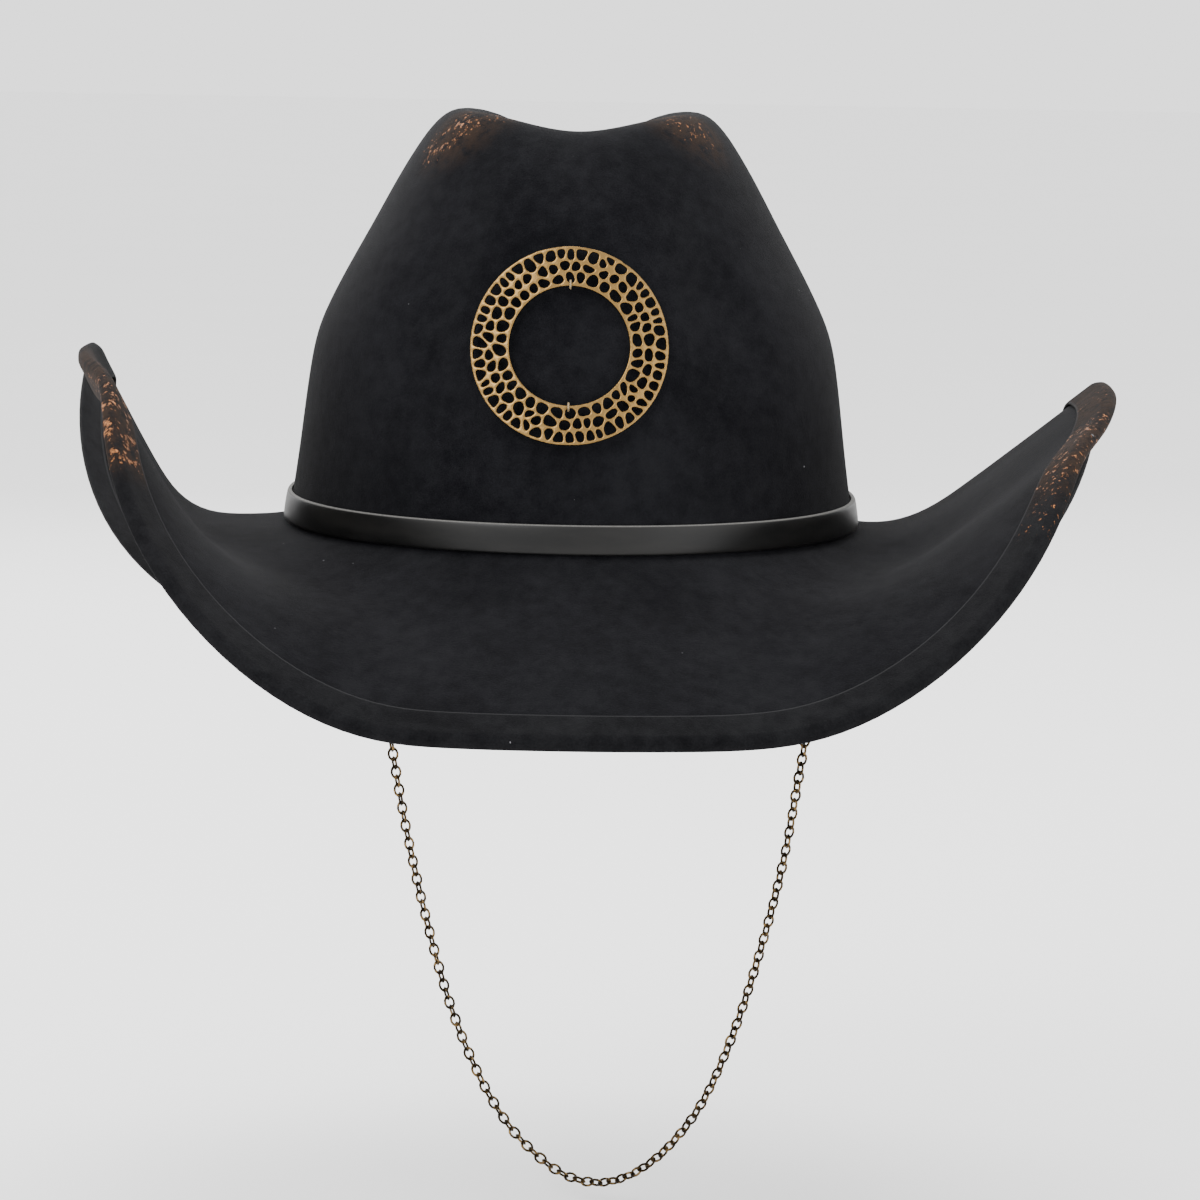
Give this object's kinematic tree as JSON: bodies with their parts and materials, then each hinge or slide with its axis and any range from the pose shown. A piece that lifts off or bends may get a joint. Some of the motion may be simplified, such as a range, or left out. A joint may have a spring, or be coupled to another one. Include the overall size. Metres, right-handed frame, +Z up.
{
  "type": "western hat",
  "caption": "Black felt western hat with rolled brim, leather band, pierced brass ring on the crown and a brass chain chin strap.",
  "frame": {"origin": "centre of the head opening, level with the underside of the felt where the crown turns out into the brim", "axes": "+Z up along the crown, +Y towards the back of the hat (the front with the ring faces -Y), +X to the viewer's right when the front is looked at"},
  "size_m": [0.328, 0.3625, 0.3458],
  "materials": {
    "felt": "matte brushed wool felt with a short nap, near black",
    "felt_edge": "matte felt strip, worn to brown at the wing edges",
    "edge_wire": "plain spring steel",
    "band_leather": "polished black with a raw pale top edge",
    "sweat_leather": "smooth black",
    "reed_plastic": "smooth black",
    "ribbon": "ribbed grosgrain, black",
    "ring_brass": "antique brass, dark in the openings and worn bright on the rims",
    "thread": "dark waxed thread",
    "tab_leather": "matte black",
    "dark_brass": "dark antique brass",
    "chain_brass": "dark antique brass, links rubbed lighter"
  },
  "bodies": {
    "hat": {"felt_body": "felt", "brim_binding": "felt_edge", "brim_wire": "edge_wire", "hatband": "band_leather", "hatband_keeper": "band_leather", "sweatband": "sweat_leather", "sweatband_reed": "reed_plastic", "sweatband_bow": "ribbon", "ring_ornament": "ring_brass", "ring_stitch_top": "thread", "ring_stitch_bottom": "thread", "chain_tab_left": "tab_leather", "chain_tab_right": "tab_leather"},
    "chain_swing_body": {"chin_chain": "chain_brass", "jump_ring_left": "dark_brass", "jump_ring_right": "dark_brass"},
    "left_ring_body": {"chain_ring_left": "dark_brass"},
    "right_ring_body": {"chain_ring_right": "dark_brass"}
  },
  "joints": [
    {"name": "chin_chain_swing", "type": "hinge", "parent": "hat", "child": "chain_swing_body", "pos_m": [0.00742, 0.03212, -0.0094], "axis": [0.9309, -0.3653, 0], "range_deg": [-70, 70]},
    {"name": "chain_ring_left_rock", "type": "hinge", "parent": "hat", "child": "left_ring_body", "pos_m": [-0.06552, 0.06074, -0.0065], "axis": [-0.5226, -0.8526, 0], "range_deg": [-10, 10]},
    {"name": "chain_ring_right_rock", "type": "hinge", "parent": "hat", "child": "right_ring_body", "pos_m": [0.08037, 0.00349, -0.0065], "axis": [-0.0209, 0.9998, 0], "range_deg": [-20, 20]}
  ],
  "couplings": [
    {"joint": "chain_ring_left_rock", "follows": "chin_chain_swing", "ratio": -0.13},
    {"joint": "chain_ring_right_rock", "follows": "chin_chain_swing", "ratio": -0.27}
  ]
}
